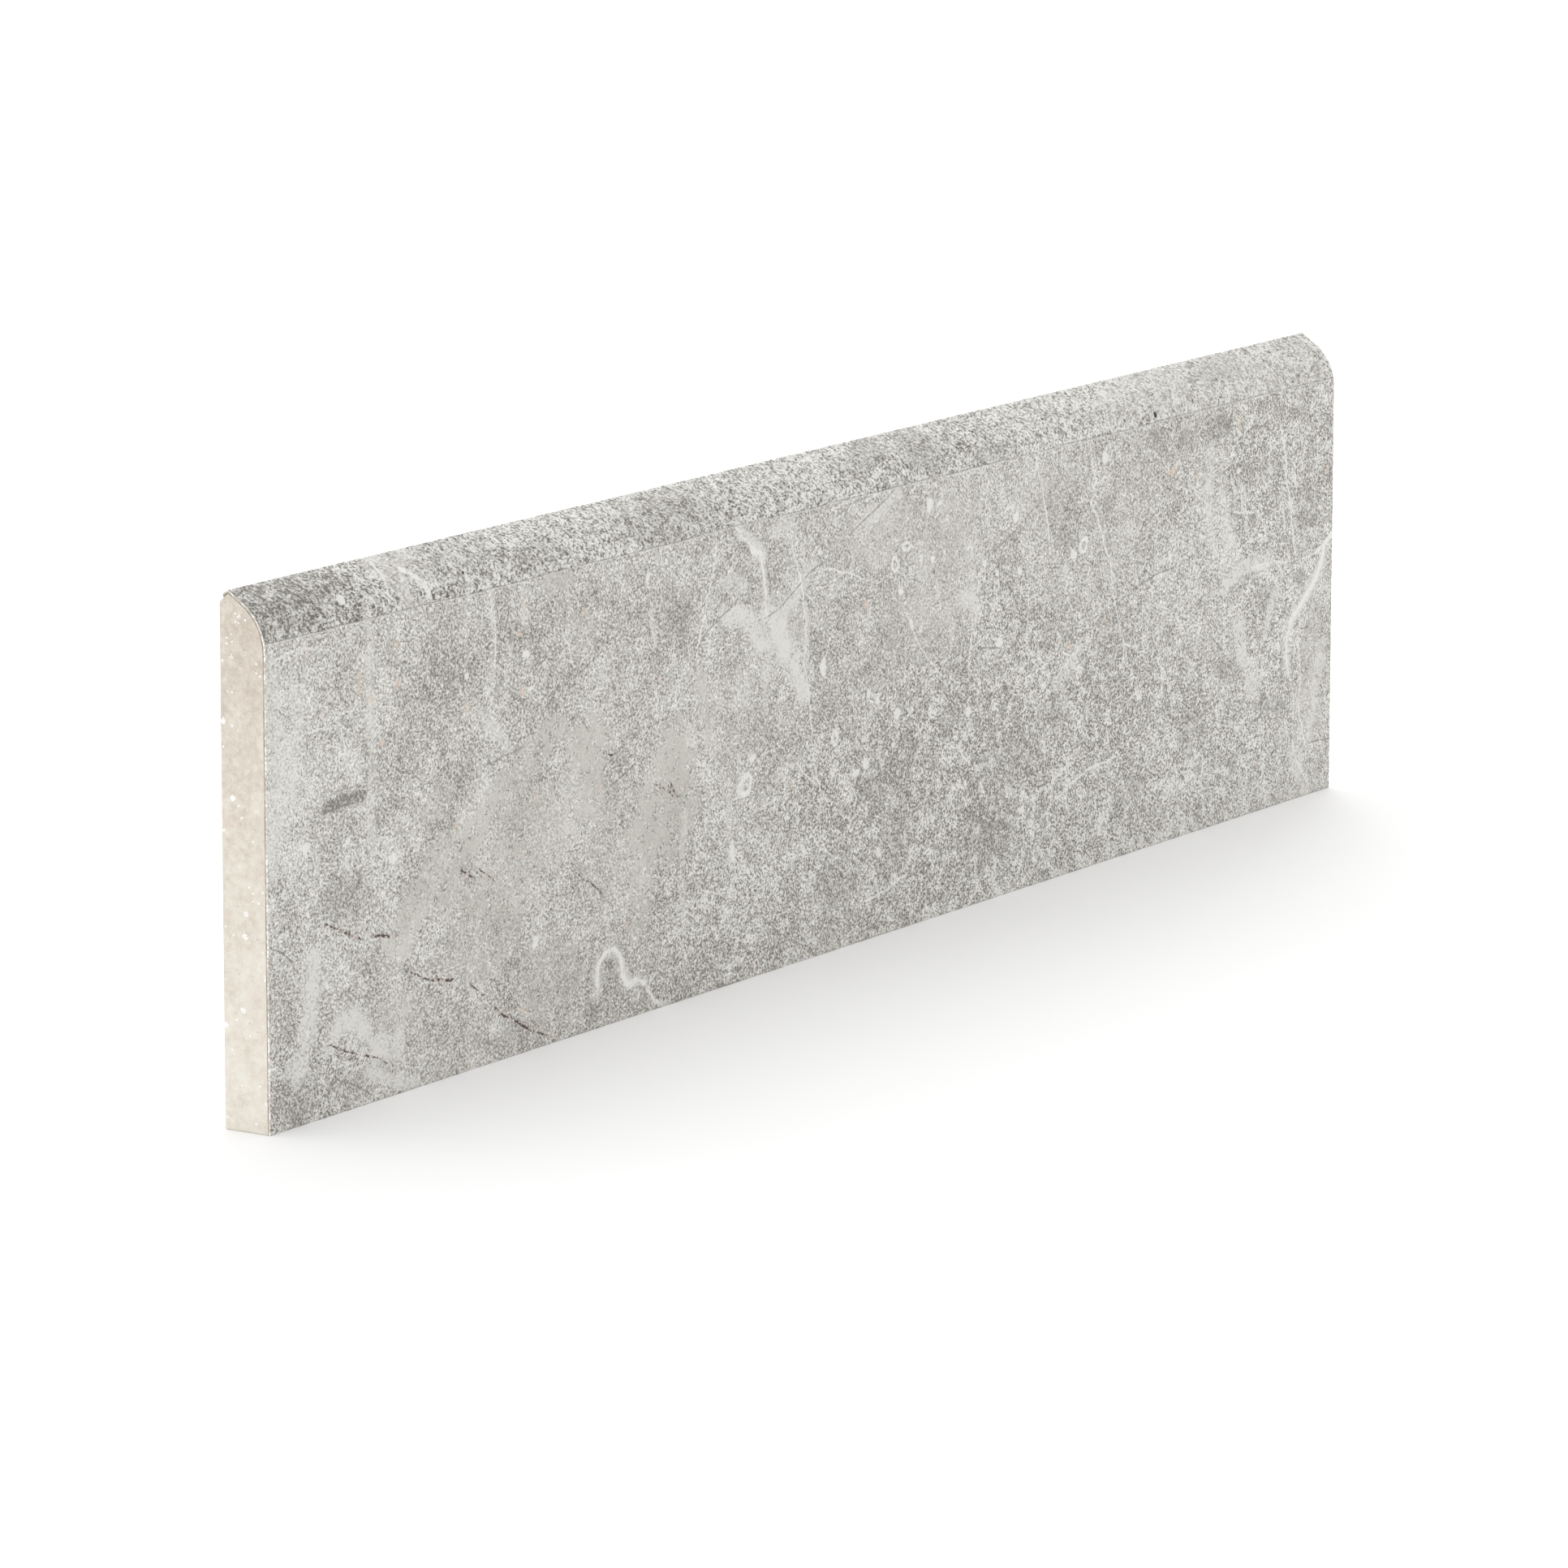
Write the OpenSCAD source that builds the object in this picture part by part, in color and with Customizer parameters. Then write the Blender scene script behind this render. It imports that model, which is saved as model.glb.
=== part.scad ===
// Bullnose skirting tile: a glazed stoneware strip with one long edge rounded over.
// X runs along the wall, the glazed face looks towards -Y, the ribbed back towards +Y.
// The origin is at the middle of the bottom edge's box.

/* [Tile] */
// Length along the wall
tile_l = 333; // [120:1:600]
// Height from the floor edge to the crest of the nose
tile_h = 85; // [50:1:150]
// Thickness from the rib crests to the glazed face
tile_t = 8.7; // [7:0.1:14]
// Width of the 45 degree arris along the bottom edges
arris = 0.25; // [0.1:0.05:0.3]

/* [Nose] */
// Radius of the rounded front of the nose
nose_r = 9.3; // [7:0.1:12]
// How far the nose turns before it runs straight up to the crest, in degrees
nose_turn = 57; // [50:1:65]

/* [Back chamfer] */
// Height of the bare back chamfer's lower edge below the crest
chamfer_h = 2.16; // [1.6:0.02:3]
// Slope of the back chamfer below level, in degrees
chamfer_slope = 43; // [38:1:50]
// How far the nose coats run over the crest and down the chamfer
coat_lap = 1.4; // [0.8:0.1:1.8]

/* [Coats] */
// Thickness of the engobe between the body and the glaze
engobe_t = 0.2; // [0.1:0.05:0.4]
// Thickness of the printed glaze
glaze_t = 0.3; // [0.3:0.05:0.6]
// Where the face coats stop and the nose coats start, in degrees up the nose
seam_turn = 10; // [0:1:30]

/* [Back relief] */
// Width of a groove at its mouth
groove_w = 9; // [4:0.5:16]
// Depth of the grooves
groove_depth = 0.7; // [0.3:0.1:1.2]
// Width of a rib crest between two grooves
rib_w = 6; // [3:0.5:16]
// Least width of the flat land at each end of the back
end_land = 8; // [4:0.5:30]
// Draft of the groove walls, in degrees from square
groove_draft = 35; // [10:1:50]

/* [Hidden] */
$fn = 96;

coat_t = engobe_t + glaze_t;
face_y = -tile_t / 2;
back_y = tile_t / 2;
far = 3 * max(tile_h, nose_r);   // beyond the section on every side
over = 1;                        // how far a cutter runs past what it cuts

// Outward directions, in the section's own plane (thickness, height)
facet_out = [-cos(nose_turn), sin(nose_turn)];
chamfer_out = [sin(chamfer_slope), cos(chamfer_slope)];

// Foot of the bare chamfer, crest of the glaze, and the middle of the nose's arc
chamfer_foot = [back_y, tile_h - chamfer_h];
crest_y = back_y + (coat_t - chamfer_out[1] * chamfer_h) / chamfer_out[0];
nose_y = face_y + nose_r;
nose_z = tile_h - (nose_r + cos(nose_turn) * (crest_y - nose_y)) / sin(nose_turn);

groove_pitch = groove_w + rib_w;
groove_n = floor((tile_l - 2 * end_land - groove_w) / groove_pitch) + 1;
groove_floor_w = groove_w - 2 * groove_depth * tan(groove_draft);

// Point where the facet and the chamfer of a section meet, depth below the glazed surface
function crest(depth) =
    let (
        a = facet_out,
        b = chamfer_out,
        on_facet = a * [nose_y, nose_z] + nose_r - depth,
        on_chamfer = b * chamfer_foot + coat_t - depth,
        det = a[0] * b[1] - a[1] * b[0]
    )
    [(on_facet * b[1] - a[1] * on_chamfer) / det, (a[0] * on_chamfer - on_facet * b[0]) / det];

// Height at which the chamfer of a section meets the back
function chamfer_end_z(depth) = chamfer_foot[1] + (coat_t - depth) / chamfer_out[1];

// Cross-section of everything that lies more than depth below the glazed surface
module section(depth) {
    y = face_y + depth;
    r = nose_r - depth;
    cut = arris - depth;
    middle = [nose_y, nose_z];
    front_foot = cut > 0 ? [[y + cut, 0], [y, cut]] : [[y, 0]];
    front_top = [y, nose_z + r * (1 - cos(nose_turn)) / sin(nose_turn)];
    difference() {
        polygon(concat(front_foot, [
            front_top,
            crest(depth),
            [back_y, chamfer_end_z(depth)],
            [back_y, arris],
            [back_y - arris, 0]
        ]));
        difference() {
            polygon([middle, middle + [-2 * r, 0], middle + 2 * r * facet_out]);
            translate(middle) circle(r);
        }
    }
}

// Half-plane above the seam, which runs square to the nose's surface
module above_seam() {
    translate([nose_y, nose_z]) rotate(-seam_turn) translate([-far, 0]) square([2 * far, far]);
}

// Half-plane on the crest's side of the line where the nose coats stop on the chamfer
module before_lap_end() {
    translate(crest(0)) rotate(-chamfer_slope) translate([coat_lap - far, -far]) square([far, 2 * far]);
}

// Cross-section of a coat between two depths
module coat(outer, inner) {
    difference() {
        section(outer);
        section(inner);
    }
}

module face_coat(outer, inner) {
    difference() {
        coat(outer, inner);
        above_seam();
    }
}

module nose_coat(outer, inner) {
    intersection() {
        coat(outer, inner);
        above_seam();
        before_lap_end();
    }
}

// Carries a section (thickness, height) along the whole length of the tile
module along_wall(length) {
    translate([-length / 2, 0, 0]) rotate([90, 0, 90]) linear_extrude(length) children();
}

// One groove of the back relief, open at the top and bottom edges
module groove() {
    translate([0, 0, -over])
        linear_extrude(tile_h + 2 * over)
            polygon([
                [-groove_floor_w / 2, back_y - groove_depth],
                [groove_floor_w / 2, back_y - groove_depth],
                [groove_w / 2, back_y],
                [groove_w / 2, back_y + over],
                [-groove_w / 2, back_y + over],
                [-groove_w / 2, back_y]
            ]);
}

module biscuit_body() {
    color([0.86, 0.83, 0.77]) difference() {
        along_wall(tile_l) section(coat_t);
        for (i = [0 : groove_n - 1])
            translate([(i - (groove_n - 1) / 2) * groove_pitch, 0, 0]) groove();
    }
}

module face_engobe() {
    color([0.72, 0.71, 0.68]) along_wall(tile_l) face_coat(glaze_t, coat_t);
}

module nose_engobe() {
    color([0.72, 0.71, 0.68]) along_wall(tile_l) nose_coat(glaze_t, coat_t);
}

module face_glaze() {
    color([0.74, 0.74, 0.72]) along_wall(tile_l) face_coat(0, glaze_t);
}

module nose_glaze() {
    color([0.66, 0.65, 0.62]) along_wall(tile_l) nose_coat(0, glaze_t);
}

biscuit_body();
face_engobe();
nose_engobe();
face_glaze();
nose_glaze();
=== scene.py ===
"""Bullnose skirting tile: a cream fired biscuit under engobe and a matt cement-look glaze.

The long top edge is ground round and coated again, so the nose has its own, coarser print.
Lengths are in metres; positions on the skin of the tile are given as (x, s), where s is
the way up the glazed surface from the bottom edge, over the nose and on to the crest.
"""
import math

import bpy
import numpy as np
from mathutils import Matrix, Vector


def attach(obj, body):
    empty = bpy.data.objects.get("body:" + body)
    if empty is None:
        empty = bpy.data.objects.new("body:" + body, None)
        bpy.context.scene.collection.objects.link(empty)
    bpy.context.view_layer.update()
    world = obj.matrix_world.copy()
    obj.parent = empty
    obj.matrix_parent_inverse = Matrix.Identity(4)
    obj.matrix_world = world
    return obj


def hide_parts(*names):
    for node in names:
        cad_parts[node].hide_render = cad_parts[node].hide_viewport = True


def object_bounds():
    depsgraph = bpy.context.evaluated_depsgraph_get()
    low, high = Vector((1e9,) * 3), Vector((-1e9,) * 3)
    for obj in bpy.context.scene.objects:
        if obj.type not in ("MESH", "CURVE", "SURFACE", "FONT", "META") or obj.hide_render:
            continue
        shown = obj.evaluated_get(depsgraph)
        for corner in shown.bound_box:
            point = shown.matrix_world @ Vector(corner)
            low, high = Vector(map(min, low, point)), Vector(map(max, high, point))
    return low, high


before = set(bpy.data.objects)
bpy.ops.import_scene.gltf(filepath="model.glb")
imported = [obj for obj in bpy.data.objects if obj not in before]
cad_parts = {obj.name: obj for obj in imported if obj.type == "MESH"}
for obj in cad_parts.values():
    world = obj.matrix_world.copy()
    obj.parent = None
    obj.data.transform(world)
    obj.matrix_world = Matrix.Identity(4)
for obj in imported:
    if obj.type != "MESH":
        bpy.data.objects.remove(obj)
cad_low, cad_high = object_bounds()

MM = 0.001

# -------- sizes of the tile
HALF_L = cad_high.x
FRONT, BACK = cad_low.y, cad_high.y
TOP = cad_high.z
GLAZE_T = 0.3 * MM
ENGOBE_T = 0.2 * MM
COAT_T = GLAZE_T + ENGOBE_T
NOSE_R = 9.3 * MM
NOSE_TURN = math.radians(57)
SEAM_TURN = math.radians(10)
CHAMFER_H = 2.16 * MM
CHAMFER_SLOPE = math.radians(43)
COAT_LAP = 1.4 * MM
CREST_R = 0.5 * MM      # the glaze draws back to this radius along the crest
ARRIS_R = 0.25 * MM     # the bottom edge of the glaze is rounded by this much
GROOVE_EASE = 0.25 * MM # edges of the back relief
END_EASE = 0.25 * MM    # back edges of the cut ends
FOOT_EASE = 0.6 * MM    # bottom edges of the cut ends
SEAM_FADE = 3 * MM      # the wave of the seam dies out over this height
SAME = 1e-6             # places closer than this are one place

# The section of the glazed surface: flat, then an arc, a straight facet, the crest, the lap
CREST_Y = BACK + (COAT_T - math.cos(CHAMFER_SLOPE) * CHAMFER_H) / math.sin(CHAMFER_SLOPE)
NOSE_Y = FRONT + NOSE_R
NOSE_Z = TOP - (NOSE_R + math.cos(NOSE_TURN) * (CREST_Y - NOSE_Y)) / math.sin(NOSE_TURN)
FACET_UP = (math.sin(NOSE_TURN), math.cos(NOSE_TURN))
LAP_DOWN = (math.cos(CHAMFER_SLOPE), -math.sin(CHAMFER_SLOPE))
ARC_END = (NOSE_Y - NOSE_R * math.cos(NOSE_TURN), NOSE_Z + NOSE_R * math.sin(NOSE_TURN))
FACET_L = (CREST_Y - ARC_END[0]) / FACET_UP[0]
CREST_TURN = math.pi / 2 - NOSE_TURN + CHAMFER_SLOPE
CREST_CUT = CREST_R * math.tan(CREST_TURN / 2)

S_NOSE = NOSE_Z
S_SEAM = S_NOSE + NOSE_R * SEAM_TURN
SEAM_S = S_SEAM / MM    # the same in mm, as in the lists of the print
S_FACET = S_NOSE + NOSE_R * NOSE_TURN
S_CREST = S_FACET + FACET_L - CREST_CUT
S_LAP = S_CREST + CREST_R * CREST_TURN
S_END = S_LAP + COAT_LAP - CREST_CUT


def skin_point(s, depth):
    """Place (y, z) of the point s up the glazed surface and depth below it."""
    s = np.asarray(s, float)
    depth = np.broadcast_to(np.asarray(depth, float), s.shape)
    y, z = FRONT + depth, s.copy()

    turn = (s - S_NOSE) / NOSE_R
    on = (s > S_NOSE) & (s <= S_FACET)
    y = np.where(on, NOSE_Y - (NOSE_R - depth) * np.cos(turn), y)
    z = np.where(on, NOSE_Z + (NOSE_R - depth) * np.sin(turn), z)

    along = s - S_FACET
    on = (s > S_FACET) & (s <= S_CREST)
    y = np.where(on, ARC_END[0] + along * FACET_UP[0] + depth * FACET_UP[1], y)
    z = np.where(on, ARC_END[1] + along * FACET_UP[1] - depth * FACET_UP[0], z)

    middle_y = ARC_END[0] + (S_CREST - S_FACET) * FACET_UP[0] + CREST_R * FACET_UP[1]
    middle_z = ARC_END[1] + (S_CREST - S_FACET) * FACET_UP[1] - CREST_R * FACET_UP[0]
    over = NOSE_TURN + (np.minimum(s, S_LAP) - S_CREST) / CREST_R
    on = s > S_CREST
    y = np.where(on, middle_y - (CREST_R - depth) * np.cos(over), y)
    z = np.where(on, middle_z + (CREST_R - depth) * np.sin(over), z)
    past = np.maximum(s - S_LAP, 0)
    return y + past * LAP_DOWN[0], z + past * LAP_DOWN[1]


# -------- small helpers
def lattice(u, v, cell, seed):
    """Smooth random field between 0 and 1 over the plane (u, v), with lumps of one cell."""
    rng = np.random.default_rng(seed)
    grid = rng.random((256, 256))
    a, b = np.asarray(u) / cell + 1000, np.asarray(v) / cell + 1000
    i, j = np.floor(a).astype(int), np.floor(b).astype(int)
    f, g = a - i, b - j
    f, g = f * f * (3 - 2 * f), g * g * (3 - 2 * g)
    i, j, i2, j2 = i % 256, j % 256, (i + 1) % 256, (j + 1) % 256
    low = grid[i, j] * (1 - f) + grid[i2, j] * f
    high = grid[i, j2] * (1 - f) + grid[i2, j2] * f
    return low * (1 - g) + high * g


def smooth(value, low, high):
    t = np.clip((value - low) / (high - low), 0, 1)
    return t * t * (3 - 2 * t)


def deselect_all():
    bpy.ops.object.select_all(action="DESELECT")


def make_active(piece):
    deselect_all()
    piece.select_set(True)
    bpy.context.view_layer.objects.active = piece


def edit(piece, mode):
    """Opens a piece in edit mode with nothing selected, in vertex, edge or face mode."""
    make_active(piece)
    bpy.ops.object.mode_set(mode="EDIT")
    bpy.ops.mesh.select_mode(type=mode)
    bpy.ops.mesh.select_all(action="DESELECT")
    bpy.ops.object.mode_set(mode="OBJECT")


def places(mesh):
    found = np.empty(len(mesh.vertices) * 3, np.float32)
    mesh.vertices.foreach_get("co", found)
    return found.reshape(-1, 3).astype(float)


def put_places(mesh, found):
    mesh.vertices.foreach_set("co", found.astype(np.float32).ravel())
    mesh.update()


def apply_modifier(piece, kind, **settings):
    make_active(piece)
    made = piece.modifiers.new(kind.title(), kind)
    for key, value in settings.items():
        setattr(made, key, value)
    bpy.ops.object.modifier_apply(modifier=made.name)


# -------- the print, in mm on the skin
# Drawn lines of lime: half width, points
CHALK_LINES = [
    (0.19, [(-41, 77), (-41.5, 73), (-44, 66), (-45.8, 60), (-47, 57)]),
    (0.22, [(-34.5, 76), (-31, 73.4), (-27.2, 71.2), (-26.2, 65), (-26, 60.6)]),
    (0.5, [(-30.6, 73), (-28.8, 72), (-27.4, 71.6)]),
    (0.19, [(-18, 72), (-16, 66), (-14.2, 61), (-13.6, 56), (-14.2, 51), (-13, 46),
                 (-12.2, 40), (-11, 33), (-9.6, 29.5), (-8.6, 26.5)]),
    (0.21, [(-12, 21), (-9, 18.2), (-6, 17), (-3, 16)]),
    (0.21, [(60.5, 77), (62, 72), (63.6, 66.5), (65, 61.5), (65.5, 58.5)]),
    (0.18, [(79.2, 76), (79.9, 72), (80.8, 69.4), (79.4, 65.5), (81.6, 62.5), (83, 58.5),
                 (86, 54), (87, 49), (89.2, 43), (91, 38), (91.2, 33)]),
    (0.18, [(91, 38.6), (93, 38), (95.5, 37)]),
    (0.27, [(147, 71), (149, 62), (150.8, 54.5), (152, 50), (153, 45)]),
    (0.16, [(147.6, 57), (149, 49.5), (151, 44.6)]),
    (0.5, [(166.5, 47.8), (162.6, 46), (160.2, 45.2)]),
    (0.45, [(163.5, 44.8), (160.8, 40.6), (157.4, 37.8), (154.2, 36.2), (151.2, 33.4)]),
    (0.31, [(151.2, 33.4), (149.8, 29.6), (150, 26), (151.4, 22.6)]),
    (0.18, [(160.2, 45.2), (156.6, 44.4), (153, 43.4)]),
    (0.21, [(154.4, 34), (154.2, 27), (155, 22), (154.6, 17.4), (156, 13), (157.2, 9)]),
    (0.17, [(152.4, 21), (152.8, 15), (152.4, 10.5), (154.6, 6.5), (158.4, 2)]),
    (0.25, [(136.6, 45.4), (143, 45.6), (149.6, 44.6)]),
    (0.13, [(138, 44), (141.5, 43.9), (144.4, 43.2)]),
    (0.25, [(130, 57), (133, 56.4), (137.4, 56)]),
    (0.18, [(131.4, 62.6), (134, 59.4), (134.6, 54)]),
    (0.13, [(-158, 61), (-152, 61.6), (-145.5, 61.6), (-142.8, 64)]),
    (0.13, [(-147.4, 63), (-146, 58), (-146.6, 54.4)]),
    (0.18, [(-163, 74.6), (-157, 75.2), (-150.6, 74)]),
    (0.13, [(-159.6, 72.4), (-156.6, 75.6)]),
    (0.18, [(67.6, 36), (70.6, 37.4), (76, 40.4)]),
    (0.25, [(68, 14.4), (72, 16), (76, 17.2), (83, 18), (88, 18.6)]),
    (0.22, [(5, 7.2), (10, 7.4), (14, 8.2), (18.4, 9.4)]),
    (0.18, [(58, 52), (58.2, 43.4)]),
    (0.42, [(-76.6, 7), (-76.2, 10), (-74.2, 12), (-71.4, 12.4), (-69.6, 11), (-69.2, 8)]),
    (0.6, [(-68.8, 7.4), (-67.4, 5.4), (-65, 6)]),
    (0.31, [(-65, 6), (-62.6, 4.6), (-60, 2), (-57.6, 0.6)]),
    (0.17, [(-8, 66), (-4, 65), (0, 64), (4, 62.6)]),
    (0.13, [(18.8, 54), (20.4, 50.6), (24, 46.6), (30, 41.6)]),
    (0.18, [(-105.8, 75), (-104.8, 70), (-104.8, 64)]),
    (0.18, [(39.6, 50), (39, 46), (38.4, 41)]),
    (0.18, [(-16.6, 34), (-14.6, 32), (-11.6, 30)]),
    (0.18, [(-86, 67), (-84, 64), (-83, 61)]),
    (0.3, [(-133.2, 79), (-131.6, 82.6), (-130.6, 86)]),
    (0.6, [(-125.4, 83.4), (-123.6, 81), (-122.4, 78)]),
]
# Soft pale drags of the trowel: half width, strength, points
HAZE_LINES = [
    (2.0, 0.4, [(-165.5, 74), (-164.6, 66), (-163, 58), (-164, 50), (-165.5, 42)]),
    (1.6, 0.3, [(-158.6, 68), (-159, 60), (-160, 52)]),
    (1.9, 0.75, [(-158.6, 9), (-156.4, 14.4), (-155.4, 20), (-154.4, 26)]),
    (1.4, 0.6, [(-161, 9), (-158, 10.6)]),
    (1.6, 0.7, [(-151.4, 11), (-147.6, 14.4), (-143.4, 14.6), (-140.4, 11.4), (-137.4, 8.8)]),
    (2.4, 0.9, [(-137.4, 8.6), (-133.4, 8.4)]),
    (1.2, 0.6, [(-141, 4.6), (-134, 2.6), (-128, 1)]),
    (1.5, 0.2, [(-133.4, 20), (-128, 26), (-121.6, 33), (-115.4, 39.6), (-108, 45.6)]),
    (1.2, 0.4, [(-108.4, 57), (-104.6, 54), (-100.6, 51)]),
    (1.0, 0.4, [(-139, 77), (-139.2, 66), (-138.8, 52), (-139, 40)]),
    (0.8, 0.2, [(-106, 77), (-105.4, 68), (-106, 58)]),
    (0.8, 0.4, [(-97, 77), (-97.2, 70)]),
    (1.3, 0.55, [(-40, 68.4), (-36.4, 67.8), (-32.6, 67.2)]),
    (1.5, 0.85, [(-38.6, 62.6), (-34.4, 62.8), (-30, 60.4), (-27.6, 56)]),
    (2.2, 0.7, [(-26, 62), (-22, 58), (-20.4, 54.4)]),
    (1.5, 0.85, [(-17.2, 51.6), (-16.2, 48.6), (-14.4, 46)]),
    (1.2, 0.75, [(-34, 76.2), (-30.4, 73.6), (-27, 71.2)]),
    (0.8, 0.7, [(-27, 71.2), (-26.3, 66), (-26, 61)]),
    (1.6, 0.5, [(-22.6, 60), (-16, 64), (-11.6, 67.6)]),
    (1.3, 0.5, [(-23, 74.6), (-18.6, 75.6)]),
    (0.8, 0.4, [(-26, 59), (-25.8, 52), (-26, 45)]),
    (0.7, 0.35, [(-37, 34), (-37.2, 26), (-36.8, 20)]),
    (0.8, 0.35, [(-51, 31), (-51.4, 22), (-51, 12)]),
    (1.0, 0.4, [(-13.4, 60), (-13.8, 50)]),
    (1.5, 0.5, [(36.8, 54), (40.4, 53.6), (40.2, 50)]),
    (1.9, 0.9, [(131.4, 36), (133.4, 31.4), (136.2, 26.4), (137.6, 23.6)]),
    (1.4, 0.8, [(127, 43.6), (131, 45.4), (135.4, 46.4), (142, 46.2)]),
    (1.6, 0.4, [(121, 69), (120.4, 60), (122, 52)]),
    (1.2, 0.35, [(125, 68), (125.4, 58)]),
    (1.4, 0.5, [(152.6, 9), (155.4, 4), (157, 0.6)]),
    (1.6, 0.4, [(163, 28), (161, 20), (159, 12)]),
    (1.2, 0.6, [(144.6, 40), (143.4, 36), (141.6, 33)]),
    (1.0, 0.6, [(149.4, 33), (150, 29), (150, 25)]),
    (1.4, 0.55, [(126, 60), (126.6, 55), (128.6, 51)]),
    (1.2, 0.4, [(68, 35), (76, 40)]),
    (1.2, 0.4, [(2, 72), (9, 74), (16, 77)]),
    (0.6, 0.5, [(-60.6, 66), (-59.4, 61)]),
    (1.1, 0.8, [(163.5, 44.8), (160.8, 40.6), (157.4, 37.8), (154.2, 36.2), (151.2, 33.4)]),
    (1.1, 0.6, [(-76.8, 6), (-76, 10.6), (-73, 12.6), (-70, 11.4), (-68.6, 7), (-64.6, 5.6)]),
]
# Fine dark scratches, all of one half width
HAIRLINES = [(0.18, points) for points in [
    [(-47.2, 57.6), (-45, 60), (-41, 62), (-36.4, 64)],
    [(-26, 60.4), (-22, 61.4), (-18, 63.4), (-13, 66), (-8, 67.4)], [(-33, 64.4), (-31, 63.6)],
    [(-31, 66.4), (-28.4, 67)], [(-82.4, 59), (-79.4, 60.2), (-75.8, 61.8)],
    [(-70.6, 40), (-67, 41.6), (-63.6, 43)], [(-107.6, 48.6), (-103, 49.4), (-97.6, 50.2)],
    [(46, 61), (50, 62.8), (54.6, 64.4)], [(57.4, 66), (61.4, 67.4)], [(20, 60.6), (22.6, 59.6)],
    [(27.4, 55), (31.2, 55.4)], [(41, 54.6), (45, 54.4)],
    [(0, 71), (5, 73), (10, 75), (14, 76.8)], [(42, 45), (49, 44)], [(137.4, 17), (140.4, 17.6)],
    [(136, 13.8), (141, 14.2)], [(150, 22), (153.4, 22.6)], [(161, 18), (163.6, 18)],
    [(159, 9.6), (166, 9.4)], [(143, 15.4), (146, 18), (148.4, 20.4)],
    [(95, 48), (101, 49.4), (108, 49.8)], [(-166, 29.6), (-163, 28.4), (-160.6, 26.6)],
    [(-147.4, 5), (-143.6, 3.4), (-140.8, 2)], [(-152.6, 17), (-150, 14.6)],
    [(-81.4, 52.4), (-79, 50)],
]]
# The two strokes of a short dark dash
DASH = [(0.5, [(-151.8, 48.5), (-141.2, 49)]), (0.5, [(-151.4, 49.5), (-141, 50)])]
# Brown cracks: half width, points
RUST_LINES = [
    (0.17, [(-151.4, 30.6), (-149.4, 29.8), (-147.2, 28.8)]),
    (0.23, [(-147.2, 28.8), (-144.8, 27.8), (-142.6, 26.8)]),
    (0.23, [(-138.4, 26.6), (-136.6, 26.2), (-134.6, 25.6)]),
    (0.15, [(-130.2, 19.4), (-127, 18.2), (-124, 17)]),
    (0.30, [(-122.4, 16.6), (-120.4, 16), (-117.8, 15.6)]),
    (0.12, [(-112.4, 13.8), (-110, 12.2), (-108, 11)]),
    (0.19, [(-105.4, 8.8), (-102.8, 7), (-101, 6.4)]),
    (0.26, [(-99.6, 5.4), (-97.4, 4.2), (-95, 3.2)]),
    (0.17, [(-93.4, 2.6), (-91, 1.6), (-89, 0.6)]),
    (0.12, [(-150.6, 11.2), (-147, 9.8), (-143.6, 8.6)]),
    (0.12, [(-141.4, 8), (-138, 6.8), (-136, 5.8)]),
    (0.15, [(-114.6, 33), (-112.2, 31.6)]),
    (0.12, [(-109.4, 32), (-106, 30)]),
    (0.12, [(-82.6, 27.2), (-80.4, 25.6)]),
    (0.15, [(-79, 25), (-75.4, 22.6)]),
    (0.15, [(-59, 37.6), (-56.4, 36.4), (-54.4, 35)]),
    (0.15, [(-73.4, 45), (-71.2, 44.4)]),
    (0.13, [(-54.6, 37), (-53, 34.6)]),
]
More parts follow.
